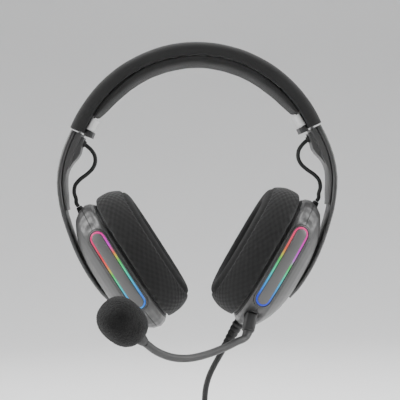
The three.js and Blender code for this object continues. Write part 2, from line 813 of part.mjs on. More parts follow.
function muteButton() {
  const top = BUTTON.inside + 1.6;
  const profile = [
    [0, 0], [BUTTON.r + 1, 0], [BUTTON.r + 1, 1.2], [BUTTON.r, 1.2], [BUTTON.r, top - 0.7],
    [BUTTON.r - 0.6, top - 0.1], [0, top],
  ];
  return turned(profile, buttonPoint(-BUTTON.inside), BUTTON_AXIS, 20);
}

function buildControls(cup) {
  add(cup, 'volume_wheel', volumeWheel(), 'dark_plastic');
  add(cup, 'mute_button', muteButton(), 'dark_plastic');
  const board = box(11.2, 12.6, 12.5, 23.4, -20, 20);
  add(cup, 'main_board', board, 'board');
}

// ---------------------------------------------------------------- microphone
const PLUG_TOP = at(36.6, -25.4, -99.2);
const PLUG_END = at(33, -30.6, -111);
const PLUG_DIR = new THREE.Vector3().subVectors(PLUG_END, PLUG_TOP).normalize();
const BOOM_ROUTE = [
  PLUG_END.clone().addScaledVector(PLUG_DIR, 1.4),
  at(30.3, -34.2, -115.3),
  at(24.8, -38.4, -117),
  at(17.6, -43, -119.6),
  at(3.4, -52.6, -123.2),
  at(-9.6, -62.2, -124.2),
  at(-21.2, -71.4, -121.8),
  at(-31.4, -80, -116.2),
  at(-38.2, -86, -109.8),
];
const FOAM_AXIS = at(-11.6, -9, 12.8).normalize();
const COLLAR_BASE = BOOM_ROUTE.at(-1).clone().addScaledVector(FOAM_AXIS, GAP);
const COLLAR_LEN = 9;
const FOAM_FOOT = 6.6;

// Square block with rounded edges around an axis; the broad face looks to the front.
function plugBlock(from, to, width, depth) {
  const axis = new THREE.Vector3().subVectors(to, from).normalize();
  const across = new THREE.Vector3().crossVectors(at(0, 1, 0), axis).normalize();
  const face = new THREE.Vector3().crossVectors(axis, across).normalize();
  const ringAt = (p, shrink) => {
    const ring = [];
    for (let i = 0; i < 20; i++) {
      const a = (2 * Math.PI * i) / 20;
      const c = Math.cos(a);
      const s = Math.sin(a);
      const u = (width / 2 - shrink) * Math.sign(c) * Math.abs(c) ** 0.5;
      const v = (depth / 2 - shrink) * Math.sign(s) * Math.abs(s) ** 0.5;
      ring.push(p.clone().addScaledVector(across, u).addScaledVector(face, v));
    }
    return ring;
  };
  const near = from.clone().addScaledVector(axis, 0.8);
  const far = to.clone().addScaledVector(axis, -0.8);
  return loft([ringAt(from, 0.6), ringAt(near, 0), ringAt(far, 0), ringAt(to, 0.8)]);
}

// Holes for the microphone socket and the cable boot, in cup coordinates.
function bottomOpenings() {
  const toCup = cupMatrix().invert();
  const from = PLUG_TOP.clone().addScaledVector(PLUG_DIR, -8).applyMatrix4(toCup);
  const to = PLUG_TOP.clone().addScaledVector(PLUG_DIR, 8).applyMatrix4(toCup);
  const socketHole = rod(from, to, 5.3, 5.3, 20);
  const bootHole = rod(at(BOOT.x, BOOT.y, -36), at(BOOT.x, BOOT.y, -60), 4.1, 4.1, 20);
  return [socketHole, bootHole];
}

function buildMicrophone() {
  const mic = new THREE.Group();
  mic.position.copy(BAND_CENTRE);
  const along = (from, distance) => from.clone().addScaledVector(PLUG_DIR, distance);
  const socket = [
    [2.1, 0], [4.9, 0], [4.9, 7], [4, 7], [4, 11], [0, 11], [0, 10], [2.1, 10], [2.1, 0],
  ];
  const socketBase = along(PLUG_TOP, -GAP);
  const socketBody = turned(socket, socketBase, PLUG_DIR.clone().negate(), 24);
  add(mic, 'mic_socket', socketBody, 'dark_plastic');
  const pin = rod(along(PLUG_TOP, -9), along(PLUG_TOP, 1.5), 1.75, 1.75, 16);
  const block = plugBlock(PLUG_TOP, PLUG_END, 9, 8.4);
  add(mic, 'mic_plug', join(block, pin), 'dark_plastic');
  add(mic, 'boom_tube', tube(through(BOOM_ROUTE), BOOM_R, 10, 30), 'rubber');
  const collar = [[0, 0], [2.9, 0], [4.1, 4], [4.1, COLLAR_LEN], [0, COLLAR_LEN]];
  add(mic, 'boom_collar', turned(collar, COLLAR_BASE, FOAM_AXIS, 20), 'dark_plastic');
  const capsuleBase = COLLAR_BASE.clone().addScaledVector(FOAM_AXIS, COLLAR_LEN + GAP);
  const capsule = [[0, 0], [5, 0], [5, 9], [4.2, 10], [0, 10]];
  add(mic, 'mic_capsule', turned(capsule, capsuleBase, FOAM_AXIS, 20), 'steel');
  add(mic, 'foam_windscreen', foamWindscreen(), 'foam');
  headset.add(mic);
}

// Egg of foam, open at its foot where it is pulled over the capsule and collar.
function foamWindscreen() {
  const half = FOAM_LEN / 2;
  const pocketTop = 13.3;
  const footAngle = 0.41;
  const steps = 12;
  const profile = [[0, pocketTop], [5.4, pocketTop]];
  for (let i = 0; i <= steps; i++) {
    const a = lerp(footAngle, Math.PI, i / steps);
    const r = i === steps ? 0 : FOAM_R * Math.sin(a) * (1 - 0.06 * Math.cos(a));
    const h = half * (1 - Math.cos(a));
    if (i === 0) {
      profile.push([5.4, h]);
    }
    profile.push([r, h]);
  }
  const foot = COLLAR_BASE.clone().addScaledVector(FOAM_AXIS, FOAM_FOOT);
  return turned(profile, foot, FOAM_AXIS, 24);
}

// ---------------------------------------------------------------- main cable
const BOOT = { x: 6.4, y: 4, top: -43.6, end: -76 };

function buildCableBoot(cup) {
  const length = BOOT.top - BOOT.end;
  const profile = [
    [0, 0], [5, 0], [5, 1.4], [3.8, 1.4], [3.8, 9.5], [3.4, 12], [2.75, length], [0, length],
  ];
  const place = at(BOOT.x, BOOT.y, BOOT.top);
  add(cup, 'cable_boot', turned(profile, place, at(0, 0, -1), 20), 'rubber');
}

// Route of the lead from the boot to the top of the hank, about the band centre.
const LEAD_REST = [
  at(9.8, 4.1, -140),
  at(6.1, 4.5, -147.4),
  at(3.6, 5, -155),
  at(2.3, 5.4, -163),
  at(2, 5.6, -171),
  at(2, 5.6, -183),
];
// The lead becomes the outermost run of the front row.
const HANK_TOP = -176.3;
const HANK_OUTER_R = HANK_INNER_R + (HANK_LAYERS - 0.5) * CORD_D;
const HANK_HALF_DEPTH = (HANK_ROWS * CORD_D) / 2;
const HANK_X = LEAD_REST.at(-1).x + HANK_OUTER_R - CORD_R;
const HANK_Y = LEAD_REST.at(-1).y + HANK_HALF_DEPTH - CORD_R;
const TAIL_X = HANK_X - HANK_INNER_R;
const TAIL_Y = HANK_Y - HANK_HALF_DEPTH - CORD_R - GAP;

// Stadium with upright sides; r is the end radius, run the straight length.
function uprightStadium(r, run) {
  const shape = new THREE.Shape();
  shape.absarc(0, run / 2, r, 0, Math.PI, false);
  shape.absarc(0, -run / 2, r, Math.PI, 2 * Math.PI, false);
  return shape;
}

function buildMainCable() {
  const cable = new THREE.Group();
  cable.position.copy(BAND_CENTRE);
  const toBand = cupMatrix();
  const exit = at(BOOT.x, BOOT.y, BOOT.end - GAP).applyMatrix4(toBand);
  const next = at(BOOT.x, BOOT.y, BOOT.end - 7).applyMatrix4(toBand);
  const lead = tube(through([exit, next, ...LEAD_REST]), CORD_R, 8, 7);
  add(cable, 'cable_lead', lead, 'rubber');

  const hankCentre = HANK_TOP - HANK_OUTER_R - HANK_RUN / 2;
  const options = { depth: 2 * HANK_HALF_DEPTH, bevelEnabled: false, curveSegments: 12 };
  const hank = new THREE.ExtrudeGeometry(uprightStadium(HANK_OUTER_R, HANK_RUN), options);
  hank.rotateX(Math.PI / 2).translate(HANK_X, HANK_Y + HANK_HALF_DEPTH, hankCentre);
  add(cable, 'cable_hank', hank, 'rubber');

  const w = HANK_OUTER_R + GAP;
  const d = HANK_HALF_DEPTH + GAP;
  const strap = box(HANK_X - w - 1.4, HANK_X + w + 1.4, HANK_Y - d - 1.4, HANK_Y + d + 1.4, -7, 7);
  const inside = box(HANK_X - w, HANK_X + w, HANK_Y - d, HANK_Y + d, -8, 8);
  add(cable, 'cable_tie', cut(strap, inside).translate(0, 0, hankCentre), 'fabric');
  buildUsbPlug(cable, hankCentre);
  headset.add(cable);
}

// The far end of the cord leaves the hank in front of its lower loops and hangs to the plug.
function buildUsbPlug(cable, hankCentre) {
  const y = TAIL_Y;
  const tailTop = hankCentre - HANK_RUN / 2;
  const reliefTop = tailTop - HANK_OUTER_R - 4;
  const tail = new THREE.LineCurve3(at(TAIL_X, y, tailTop), at(TAIL_X, y, reliefTop + GAP));
  add(cable, 'cable_tail', tube(tail, CORD_R, 8, 2), 'rubber');
  const reliefLen = 14;
  const relief = turned(
    [[0, 0], [3.6, 0], [2.7, reliefLen], [0, reliefLen]],
    at(TAIL_X, y, reliefTop - reliefLen),
    at(0, 0, 1),
    16,
  );
  const top = reliefTop - reliefLen + 1;
  const bottom = top - USB_BODY;
  const body = box(TAIL_X - 8, TAIL_X + 8, y - 4.2, y + 4.2, bottom, top);
  add(cable, 'usb_plug', join(body, relief), 'dark_plastic');
  const tip = bottom - USB_TIP;
  const shell = box(TAIL_X - 6, TAIL_X + 6, y - 2.25, y + 2.25, tip, bottom - GAP);
  const hollow = box(TAIL_X - 5.6, TAIL_X + 5.6, y - 1.85, y + 1.85, tip - 1, tip + 11);
  add(cable, 'usb_shell', cut(shell, hollow), 'steel');
}

// ---------------------------------------------------------------- assembly
buildHeadband();
for (const [name, side, place] of [['left', 1, (g) => g], ['right', -1, mirrored]]) {
  buildArm(name, place);
  buildCup(name, side, place);
}
buildMicrophone();
buildMainCable();

export default headset;
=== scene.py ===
"""Gaming headset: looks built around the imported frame. Metres, same frame as the CAD."""

import json
import math
from functools import partial

import bmesh
import bpy
import numpy as np
from mathutils import Matrix, Vector, noise


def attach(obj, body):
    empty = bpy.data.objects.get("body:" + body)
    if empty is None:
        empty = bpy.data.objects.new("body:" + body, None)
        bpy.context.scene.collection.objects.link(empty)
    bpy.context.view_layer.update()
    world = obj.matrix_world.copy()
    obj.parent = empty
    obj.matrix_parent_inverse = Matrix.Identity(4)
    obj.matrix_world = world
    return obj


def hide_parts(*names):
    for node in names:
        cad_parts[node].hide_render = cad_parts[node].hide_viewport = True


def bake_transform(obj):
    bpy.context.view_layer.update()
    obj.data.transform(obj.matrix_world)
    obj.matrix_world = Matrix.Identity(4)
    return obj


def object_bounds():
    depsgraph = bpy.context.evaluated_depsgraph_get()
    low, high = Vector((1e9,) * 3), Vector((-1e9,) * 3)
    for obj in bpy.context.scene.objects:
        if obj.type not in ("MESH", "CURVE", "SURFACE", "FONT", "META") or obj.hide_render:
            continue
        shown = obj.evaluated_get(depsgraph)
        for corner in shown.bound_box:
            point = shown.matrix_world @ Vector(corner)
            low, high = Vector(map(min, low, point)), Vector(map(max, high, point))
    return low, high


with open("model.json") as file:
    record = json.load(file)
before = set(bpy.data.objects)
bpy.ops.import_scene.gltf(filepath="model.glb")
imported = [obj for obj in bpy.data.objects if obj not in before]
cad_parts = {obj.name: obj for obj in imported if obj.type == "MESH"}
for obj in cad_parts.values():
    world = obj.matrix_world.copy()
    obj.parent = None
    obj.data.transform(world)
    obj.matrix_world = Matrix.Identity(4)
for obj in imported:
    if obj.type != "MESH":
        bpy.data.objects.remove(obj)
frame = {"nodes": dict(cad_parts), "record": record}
cad_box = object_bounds()

# ------------------------------------------------------------------ driving sizes
BAND_UP = -0.0815  # height of the band's centre below the head's contact point
CUP_LEAN = math.radians(31.5)
CUP_RIM_OUT = 0.075
CUP_CENTRE_UP = -0.025
PANEL_X = 0.0086
PANEL_HALF_LEN = 0.0265
CUSHION_BACK = -0.0027
CUSHION_FACE = -0.0261
CUSHION_LEN = 0.050
CUSHION_DEP = 0.042
HOLE_LEN = 0.0295
HOLE_DEP = 0.021
CORD_R = 0.0022
EDGE_ROUNDING = 0.0004
SHAPED_EDGE = 0.0018  # longest edge left in a wall before it is shaped
VALLEY_DEPTH = 0.0036
VIEW_DISTANCE = 0.8
VIEW_TARGET = (0.0017, 0, -0.0982)
VIEW_TURN = (1.2, 0.5, 1.25)  # yaw, rise and roll in degrees
PICTURE = 400
FOCAL = 1080


def cup_point(x, y, z, side=1):
    """Cup coordinates (x outward from the rim, z along the cup) to the row frame."""
    out, up = CUP_RIM_OUT + x, CUP_CENTRE_UP + z
    c, s = math.cos(CUP_LEAN), math.sin(CUP_LEAN)
    return Vector((side * (out * c + up * s), y, -out * s + up * c + BAND_UP))


def band_point(x, y, z):
    """Millimetres about the band's centre to the row frame."""
    return Vector((x / 1000, y / 1000, z / 1000 + BAND_UP))


def to_cup(place, side):
    """Row frame to cup coordinates."""
    c, s = math.cos(CUP_LEAN), math.sin(CUP_LEAN)
    x, z = place.x * side, place.z - BAND_UP
    return (x * c - z * s - CUP_RIM_OUT, place.y, x * s + z * c - CUP_CENTRE_UP)


# ------------------------------------------------------------------ camera
def make_camera():
    yaw, rise, roll = (math.radians(a) for a in VIEW_TURN)
    ahead = Vector((math.sin(yaw) * math.cos(rise), math.cos(yaw) * math.cos(rise), -math.sin(rise)))
    right = Vector((math.cos(yaw), -math.sin(yaw), 0))
    up = right.cross(ahead)
    tilted = right * math.cos(roll) - up * math.sin(roll)
    top = tilted.cross(ahead)
    data = bpy.data.cameras.new("camera")
    data.sensor_width = 36
    data.lens = FOCAL / PICTURE * 36
    data.clip_end = 20
    camera = bpy.data.objects.new("camera", data)
    bpy.context.scene.collection.objects.link(camera)
    turn = Matrix((tilted, top, -ahead)).transposed().to_4x4()
    camera.matrix_world = Matrix.Translation(Vector(VIEW_TARGET) - ahead * VIEW_DISTANCE) @ turn
    bpy.context.scene.camera = camera


make_camera()


# ------------------------------------------------------------------ node material helpers
class Nodes:
    """Short names for building one procedural material."""

    def __init__(self, name):
        self.material = bpy.data.materials.new(name)
        self.material.use_nodes = True
        self.tree = self.material.node_tree
        self.shader = self.tree.nodes["Principled BSDF"]

    def add(self, kind, **values):
        node = self.tree.nodes.new(kind)
        for key, value in values.items():
            setattr(node, key, value)
        return node

    def link(self, source, target):
        self.tree.links.new(source, target)

    def put(self, socket, value):
        if isinstance(value, bpy.types.NodeSocket):
            self.link(value, socket)
        else:
            socket.default_value = value

    def math(self, operation, a, b=0.0, clamp=False):
        node = self.add("ShaderNodeMath", operation=operation, use_clamp=clamp)
        for socket, value in zip(node.inputs, (a, b)):
            self.put(socket, value)
        return node.outputs[0]

    def object_coords(self):
        return self.add("ShaderNodeTexCoord").outputs["Object"]

    def uv_coords(self):
        return self.add("ShaderNodeTexCoord").outputs["UV"]

    def scaled(self, vector, scale):
        node = self.add("ShaderNodeMapping")
        self.link(vector, node.inputs["Vector"])
        node.inputs["Scale"].default_value = scale
        return node.outputs[0]

    def noise(self, vector, scale, detail=2.0, rough=0.5):
        node = self.add("ShaderNodeTexNoise")
        self.link(vector, node.inputs["Vector"])
        node.inputs["Scale"].default_value = scale
        node.inputs["Detail"].default_value = detail
        node.inputs["Roughness"].default_value = rough
        return node.outputs["Fac"]

    def cells(self, vector, scale):
        node = self.add("ShaderNodeTexVoronoi")
        self.link(vector, node.inputs["Vector"])
        node.inputs["Scale"].default_value = scale
        return node.outputs["Distance"]

    def ramp(self, factor, stops):
        node = self.add("ShaderNodeValToRGB")
        self.link(factor, node.inputs[0])
        band = node.color_ramp
        while len(band.elements) < len(stops):
            band.elements.new(0.5)
        for element, (position, color) in zip(band.elements, stops):
            element.position = position
            element.color = (*color, 1)
        return node.outputs[0]

    def mix(self, factor, a, b):
        node = self.add("ShaderNodeMix", data_type="RGBA")
        self.put(node.inputs[0], factor)
        for socket, value in ((node.inputs[6], a), (node.inputs[7], b)):
            self.put(socket, value if isinstance(value, bpy.types.NodeSocket) else (*value, 1))
        return node.outputs[2]

    def spread(self, factor, low, high):
        node = self.add("ShaderNodeMapRange")
        self.link(factor, node.inputs["Value"])
        node.inputs["To Min"].default_value = low
        node.inputs["To Max"].default_value = high
        return node.outputs[0]

    def bump(self, height, distance, strength=1.0):
        node = self.add("ShaderNodeBump")
        self.link(height, node.inputs["Height"])
        node.inputs["Distance"].default_value = distance
        node.inputs["Strength"].default_value = strength
        return node.outputs[0]

    def finish(self, color, rough, normal=None, **fixed):
        self.link(color, self.shader.inputs["Base Color"])
        self.put(self.shader.inputs["Roughness"], rough)
        if normal is not None:
            self.link(normal, self.shader.inputs["Normal"])
        for key, value in fixed.items():
            self.shader.inputs[key.replace("_", " ")].default_value = value
        return self.material


def grey(level):
    """Linear grey from a 0-255 display level, as a colour."""
    v = (level / 255) ** 2.2
    return (v, v, v)


def tinted(r, g, b):
    return tuple((c / 255) ** 2.2 for c in (r, g, b))


# ------------------------------------------------------------------ materials
def moulded(name, color, worn, rough, grain=0.00003, scale=1400):
    """Moulded plastic: fine spark-eroded grain, cloudy gloss and slightly paler rubbed areas."""
    n = Nodes(name)
    place = n.object_coords()
    fine = n.noise(place, scale, 2)
    cloud = n.noise(place, 55, 3, 0.6)
    rub = n.noise(place, 18, 2)
    shade = n.mix(n.spread(rub, 0.0, 0.5), color, worn)
    speck = n.mix(n.spread(fine, 0.0, 0.35), shade, tuple(c * 1.35 for c in color))
    finish = n.math("ADD", n.spread(cloud, rough - 0.07, rough + 0.07), n.spread(fine, -0.04, 0.04))
    return n.finish(speck, finish, n.bump(fine, grain))


def woven(name, dark, light, rib_u, rib_v, depth):
    """Staggered weave drawn from the piece's own lengthwise and crosswise distances, in metres."""
    n = Nodes(name)
    place = n.uv_coords()
    parts = n.add("ShaderNodeSeparateXYZ")
    n.link(place, parts.inputs[0])
    u = n.math("MULTIPLY", parts.outputs[0], 2 * math.pi / rib_u)
    v = n.math("MULTIPLY", parts.outputs[1], 2 * math.pi / rib_v)
    drift = n.math("MULTIPLY", n.noise(place, 160, 2), 1.1)
    warp = n.math("SINE", n.math("ADD", u, drift))
    weft = n.math("SINE", n.math("ADD", v, drift))
    height = n.math("MULTIPLY", n.math("MULTIPLY", warp, weft), 0.42)
    height = n.math("ADD", height, 0.5, clamp=True)
    fuzz = n.noise(place, 3800, 3, 0.7)
    cloud = n.noise(n.object_coords(), 45, 3)
    base = n.mix(height, dark, light)
    base = n.mix(n.spread(fuzz, 0.0, 0.14), base, tuple(c * 1.6 for c in light))
    base = n.mix(n.spread(cloud, 0.0, 0.35), base, dark)
    total = n.math("ADD", height, n.math("MULTIPLY", fuzz, 0.3))
    return n.finish(base, n.spread(fuzz, 0.85, 1.0), n.bump(total, depth), Sheen_Weight=0.08,
                    Sheen_Roughness=0.45, Specular_IOR_Level=0.25)


def grained(name, dark, light, rough):
    """Leatherette: pebbled cells with creases, shinier on top of the pebbles."""
    n = Nodes(name)
    place = n.object_coords()
    pebble = n.cells(place, 900)
    crease = n.noise(place, 260, 4, 0.6)
    height = n.math("ADD", n.math("MULTIPLY", n.math("SUBTRACT", 1.0, pebble), 0.7),
                    n.math("MULTIPLY", crease, 0.3))
    base = n.mix(height, dark, light)
    cloud = n.noise(place, 40, 3)
    base = n.mix(n.spread(cloud, 0.0, 0.3), base, dark)
    return n.finish(base, n.spread(crease, rough - 0.08, rough + 0.12), n.bump(height, 0.00012),
                    Specular_IOR_Level=0.4)


def foamed(name, dark, light):
    """Open-cell foam: pores of two sizes."""
    n = Nodes(name)
    place = n.object_coords()
    pores = n.cells(place, 1150)
    fine = n.noise(place, 2600, 3, 0.7)
    height = n.math("ADD", n.math("MULTIPLY", pores, 0.9), n.math("MULTIPLY", fine, 0.35))
    cloud = n.noise(place, 90, 3)
    base = n.mix(n.math("MULTIPLY", height, 1.1, clamp=True), light, dark)
    base = n.mix(n.spread(cloud, 0.0, 0.3), base, dark)
    return n.finish(base, 1.0, n.bump(height, 0.0005, 0.9), Sheen_Weight=0.06, Sheen_Roughness=0.6,
                    Specular_IOR_Level=0.15)


def rubbery(name, color, scuffed, rough=0.62):
    n = Nodes(name)
    place = n.object_coords()
    fine = n.noise(place, 2400, 2)
    cloud = n.noise(place, 70, 3, 0.6)
    base = n.mix(n.spread(cloud, 0.0, 0.6), color, scuffed)
    return n.finish(base, n.spread(cloud, rough - 0.08, rough + 0.12), n.bump(fine, 0.00002),
                    Specular_IOR_Level=0.4)


def brushed(name, color):
    """Steel with fine brushed lines and faint stains."""
    n = Nodes(name)
    place = n.object_coords()
    lines = n.noise(n.scaled(place, (1, 1, 30)), 900, 2)
    stain = n.noise(place, 120, 3)
    base = n.mix(n.spread(stain, 0.0, 0.4), color, tuple(c * 0.7 for c in color))
    return n.finish(base, n.spread(lines, 0.22, 0.45), n.bump(lines, 0.000015),
                    Metallic=1.0)


def circuit(name):
    n = Nodes(name)
    place = n.object_coords()
    tracks = n.noise(n.scaled(place, (1, 3, 1)), 700, 0)
    base = n.mix(n.math("GREATER_THAN", tracks, 0.56), tinted(16, 60, 38), tinted(60, 110, 60))
    return n.finish(base, 0.42, n.bump(tracks, 0.00004), Coat_Weight=0.4)


def glowing(name, side, outer_stops, inner_stops):
    """Light guide: the colour runs along the cup, differently on its two long sides."""
    n = Nodes(name)
    place = n.object_coords()
    c, s = math.cos(CUP_LEAN), math.sin(CUP_LEAN)

    def along(direction, origin):
        node = n.add("ShaderNodeVectorMath", operation="DOT_PRODUCT")
        n.link(place, node.inputs[0])
        node.inputs[1].default_value = direction
        return n.math("SUBTRACT", node.outputs["Value"], Vector(direction).dot(origin))

    centre = cup_point(PANEL_X, 0, 0, side)
    reach = PANEL_HALF_LEN + 0.0055
    lengthwise = n.math("ADD", n.math("DIVIDE", along((side * s, 0, c), centre), 2 * reach), 0.5)
    outward = n.math("ADD", n.math("DIVIDE", along((side * c, 0, -s), centre), 0.0045), 0.5, clamp=True)
    glow = n.mix(outward, n.ramp(lengthwise, inner_stops), n.ramp(lengthwise, outer_stops))
    milky = n.noise(place, 900, 2)
    n.link(glow, n.shader.inputs["Emission Color"])
    n.shader.inputs["Emission Strength"].default_value = GLOW
    base = n.mix(n.spread(milky, 0.0, 0.3), grey(6), grey(12))
    return n.finish(base, n.spread(milky, 0.3, 0.46), n.bump(milky, 0.00001))


GLOW = 1.1
PINK = tinted(250, 0, 135)
CRIMSON = tinted(235, 0, 65)
SALMON = tinted(250, 95, 70)
LILAC = tinted(205, 110, 225)
YELLOW = tinted(215, 200, 60)
GREEN = tinted(40, 215, 85)
MINT = tinted(25, 225, 165)
CYAN = tinted(0, 170, 235)
AZURE = tinted(0, 120, 235)
BLUE = tinted(0, 60, 215)
VIOLET = tinted(220, 30, 225)

MATERIALS = {
    "shell_plastic": moulded("shell_plastic", grey(46), grey(52), 0.42),
    "dark_plastic": moulded("dark_plastic", grey(26), grey(34), 0.52),
    "panel_plate": moulded("panel_plate", grey(68), grey(76), 0.36, 0.000012, 2200),
    "light_tab": moulded("light_tab", grey(184), grey(170), 0.45),
    "band_fabric": woven("band_fabric", grey(25), grey(45), 0.0013, 0.0013, 0.00028),
    "cushion_fabric": woven("cushion_fabric", grey(27), grey(39), 0.0058, 0.0042, 0.0004),
    "leatherette": grained("leatherette", grey(23), grey(32), 0.92),
    "mic_foam": foamed("mic_foam", grey(20), grey(40)),
    "rubber": rubbery("rubber", grey(24), grey(34)),
    "cord": rubbery("cord", grey(21), grey(29), 0.5),
    "tie_fabric": woven("tie_fabric", grey(16), grey(34), 0.0008, 0.0008, 0.0002),
    "steel": brushed("steel", grey(150)),
    "board": circuit("board"),
}
BOOM_RUBBER = rubbery("boom_rubber", grey(46), grey(56), 0.5)
LIGHT_LEFT = glowing(
    "light_guide_left", 1,
    [(0.0, BLUE), (0.08, BLUE), (0.28, CYAN), (0.42, MINT), (0.54, GREEN), (0.62, LILAC),
     (0.74, VIOLET), (1.0, PINK)],
    [(0.0, BLUE), (0.1, BLUE), (0.3, CYAN), (0.44, MINT), (0.56, GREEN), (0.63, YELLOW),
     (0.7, SALMON), (1.0, PINK)],
)
LIGHT_RIGHT = glowing(
    "light_guide_right", -1,
    [(0.0, CYAN), (0.22, CYAN), (0.38, MINT), (0.48, GREEN), (0.545, YELLOW), (0.6, SALMON),
     (0.74, CRIMSON), (1.0, PINK)],
    [(0.0, AZURE), (0.12, AZURE), (0.28, CYAN), (0.45, MINT), (0.58, GREEN), (0.65, YELLOW),
     (0.7, SALMON), (0.8, VIOLET), (1.0, PINK)],
)


# ------------------------------------------------------------------ mesh helpers
def new_object(name, verts, faces):
    mesh = bpy.data.meshes.new(name)
    mesh.from_pydata([tuple(v) for v in verts], [], faces)
    mesh.update()
    piece = bpy.data.objects.new(name, mesh)
    bpy.context.scene.collection.objects.link(piece)
    return piece


def dress(piece, body, slot, *replaced, look=None):
    """Gives a piece the material of its slot (or the given look), parents it to its body and hides the CAD
    nodes it stands for.
    """
    material = look or MATERIALS[slot]
    piece.data.materials.clear()
    piece.data.materials.append(material)
    if body:
        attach(piece, body)
    if replaced:
        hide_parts(*replaced)
    return piece


def displaced(piece, shift):
    """Moves each vertex by shift(place, normal)."""
    mesh = piece.data
    count = len(mesh.vertices)
    places, normals = np.zeros(count * 3), np.zeros(count * 3)
    mesh.vertices.foreach_get("co", places)
    mesh.vertex_normals.foreach_get("vector", normals)
    places, normals = places.reshape(-1, 3), normals.reshape(-1, 3)
    moved = [Vector(p) + shift(Vector(p), Vector(q)) for p, q in zip(places, normals)]
    mesh.vertices.foreach_set("co", np.array(moved).ravel())
    mesh.update()


def apply_modifiers(piece):
    graph = bpy.context.evaluated_depsgraph_get()
    graph.update()
    made = bpy.data.meshes.new_from_object(piece.evaluated_get(graph))
    old = piece.data
    piece.modifiers.clear()
    piece.data = made
    bpy.data.meshes.remove(old)
    return piece


def shade(piece, angle=None):
    mesh = piece.data
    mesh.polygons.foreach_set("use_smooth", [True] * len(mesh.polygons))
    if angle is not None:
        mesh.set_sharp_from_angle(angle=math.radians(angle))
    mesh.update()
    return piece


def grid_faces(rows, columns):
    """Faces between rings of points, each ring closed on itself."""
    faces = []
    for i in range(rows - 1):
        for j in range(columns):
            k = (j + 1) % columns
            faces.append((i * columns + j, i * columns + k, (i + 1) * columns + k, (i + 1) * columns + j))
    return faces


def set_uv(piece, values, period=None):
    """Stores a 2-D place for each vertex; a period closes the pattern around a ring."""
    mesh = piece.data
    layer = mesh.uv_layers.get("weave") or mesh.uv_layers.new(name="weave")
    corners = np.zeros(len(mesh.loops), np.int64)
    mesh.loops.foreach_get("vertex_index", corners)
    data = np.array(values, float)[corners]
    if period:
        for polygon in mesh.polygons:
            first, last = polygon.loop_start, polygon.loop_start + polygon.loop_total
            across = data[first:last, 0]
            if across.max() - across.min() > period / 2:
                across[across < period / 2] += period
    layer.data.foreach_set("uv", data.ravel())


def split_long_edges(edit, longest):
    """Cuts long edges until a surface is fine enough to be shaped."""
    bmesh.ops.triangulate(edit, faces=edit.faces)
    for _ in range(5):
        long_edges = [e for e in edit.edges if e.calc_length() > longest]
        if not long_edges:
            break
        bmesh.ops.subdivide_edges(edit, edges=long_edges, cuts=1)
        bmesh.ops.triangulate(edit, faces=edit.faces)


def eased(value, low, high):
    t = min(1.0, max(0.0, (value - low) / (high - low)))
    return t * t * (3 - 2 * t)


def valley(place, side):
    """Inward shift of the cup's front and rear walls round the panel's outline."""
    x, y, z = to_cup(place, side)
    hump = eased(x, 0.0012, 0.0066) * (1 - eased(x, 0.0105, 0.0162))
    beyond = math.hypot(x - PANEL_X, max(abs(z) - PANEL_HALF_LEN, 0)) - 0.0071
    clear = eased(beyond, 0.0, 0.0065) * (1 - 0.55 * eased(abs(z), 0.044, 0.052))
    inward = eased(abs(y), 0.006, 0.02)
    shift = VALLEY_DEPTH * hump * clear * inward
    return Vector((0, -math.copysign(shift, y), 0))


def reshape(piece, shift):
    """Moves the vertices of a finely split copy of a surface."""
    edit = bmesh.new()
    edit.from_mesh(piece.data)
    split_long_edges(edit, SHAPED_EDGE)
    for vertex in edit.verts:
        vertex.co += shift(vertex.co)
    edit.to_mesh(piece.data)
    edit.free()


def refined(node, smooth=42, shaped=None):
    """A copy of a CAD node with merged facets and small rounded edges."""
    source = frame["nodes"][node]
    mesh = source.data.copy()
    piece = bpy.data.objects.new(node + "_finish", mesh)
    bpy.context.scene.collection.objects.link(piece)
    edit = bmesh.new()
    edit.from_mesh(mesh)
    bmesh.ops.remove_doubles(edit, verts=edit.verts, dist=1e-6)
    bmesh.ops.dissolve_limit(edit, angle_limit=math.radians(0.6), verts=edit.verts, edges=edit.edges)
    edit.to_mesh(mesh)
    edit.free()
    cut = piece.modifiers.new("bevel", "BEVEL")
    cut.width = EDGE_ROUNDING
    cut.segments = 2
    cut.limit_method = "ANGLE"
    cut.angle_limit = math.radians(32)
    cut.use_clamp_overlap = True
    apply_modifiers(piece)
    if shaped:
        reshape(piece, shaped)
    shade(piece, smooth)
    return piece


# ------------------------------------------------------------------ hard pieces kept from the frame
record = frame["record"]
SLOT_OF = {row["node"]: row["material_slot"] for row in record["subparts"]}
BODY_OF = {node: body for body, nodes in record["behaviour"]["bodies"].items() for node in nodes}
OWN_NODES = {
    "headband_cover", "headband_pad", "ear_cushion_left", "ear_cushion_right", "foam_windscreen",
    "cable_boot", "cable_lead", "cable_hank", "cable_tie", "cable_tail", "link_cable_left",
    "link_cable_right", "boom_tube",
}
LIGHTS = {"light_guide_left": LIGHT_LEFT, "light_guide_right": LIGHT_RIGHT}
for node in sorted(set(frame["nodes"]) - OWN_NODES):
    shaped = None
    slot = "shell_plastic" if node.startswith("panel_bezel") else SLOT_OF[node]
    if node.startswith(("cup_outer_shell", "cup_inner_shell")):
        shaped = partial(valley, side=1 if node.endswith("left") else -1)
    piece = refined(node, smooth=55 if shaped else 42, shaped=shaped)
    dress(piece, BODY_OF[node], slot, node, look=LIGHTS.get(node))


# ------------------------------------------------------------------ cords
def round_curve(name, points, radius):
    data = bpy.data.curves.new(name, "CURVE")
    data.dimensions = "3D"
    data.bevel_depth = radius
    data.bevel_resolution = 6
    data.resolution_u = 6
    data.use_fill_caps = True
    spline = data.splines.new("POLY")
    spline.points.add(len(points) - 1)
    for point, place in zip(spline.points, points):
        point.co = (*place, 1)
    spline.use_smooth = True
    piece = bpy.data.objects.new(name, data)
    bpy.context.scene.collection.objects.link(piece)
    return piece


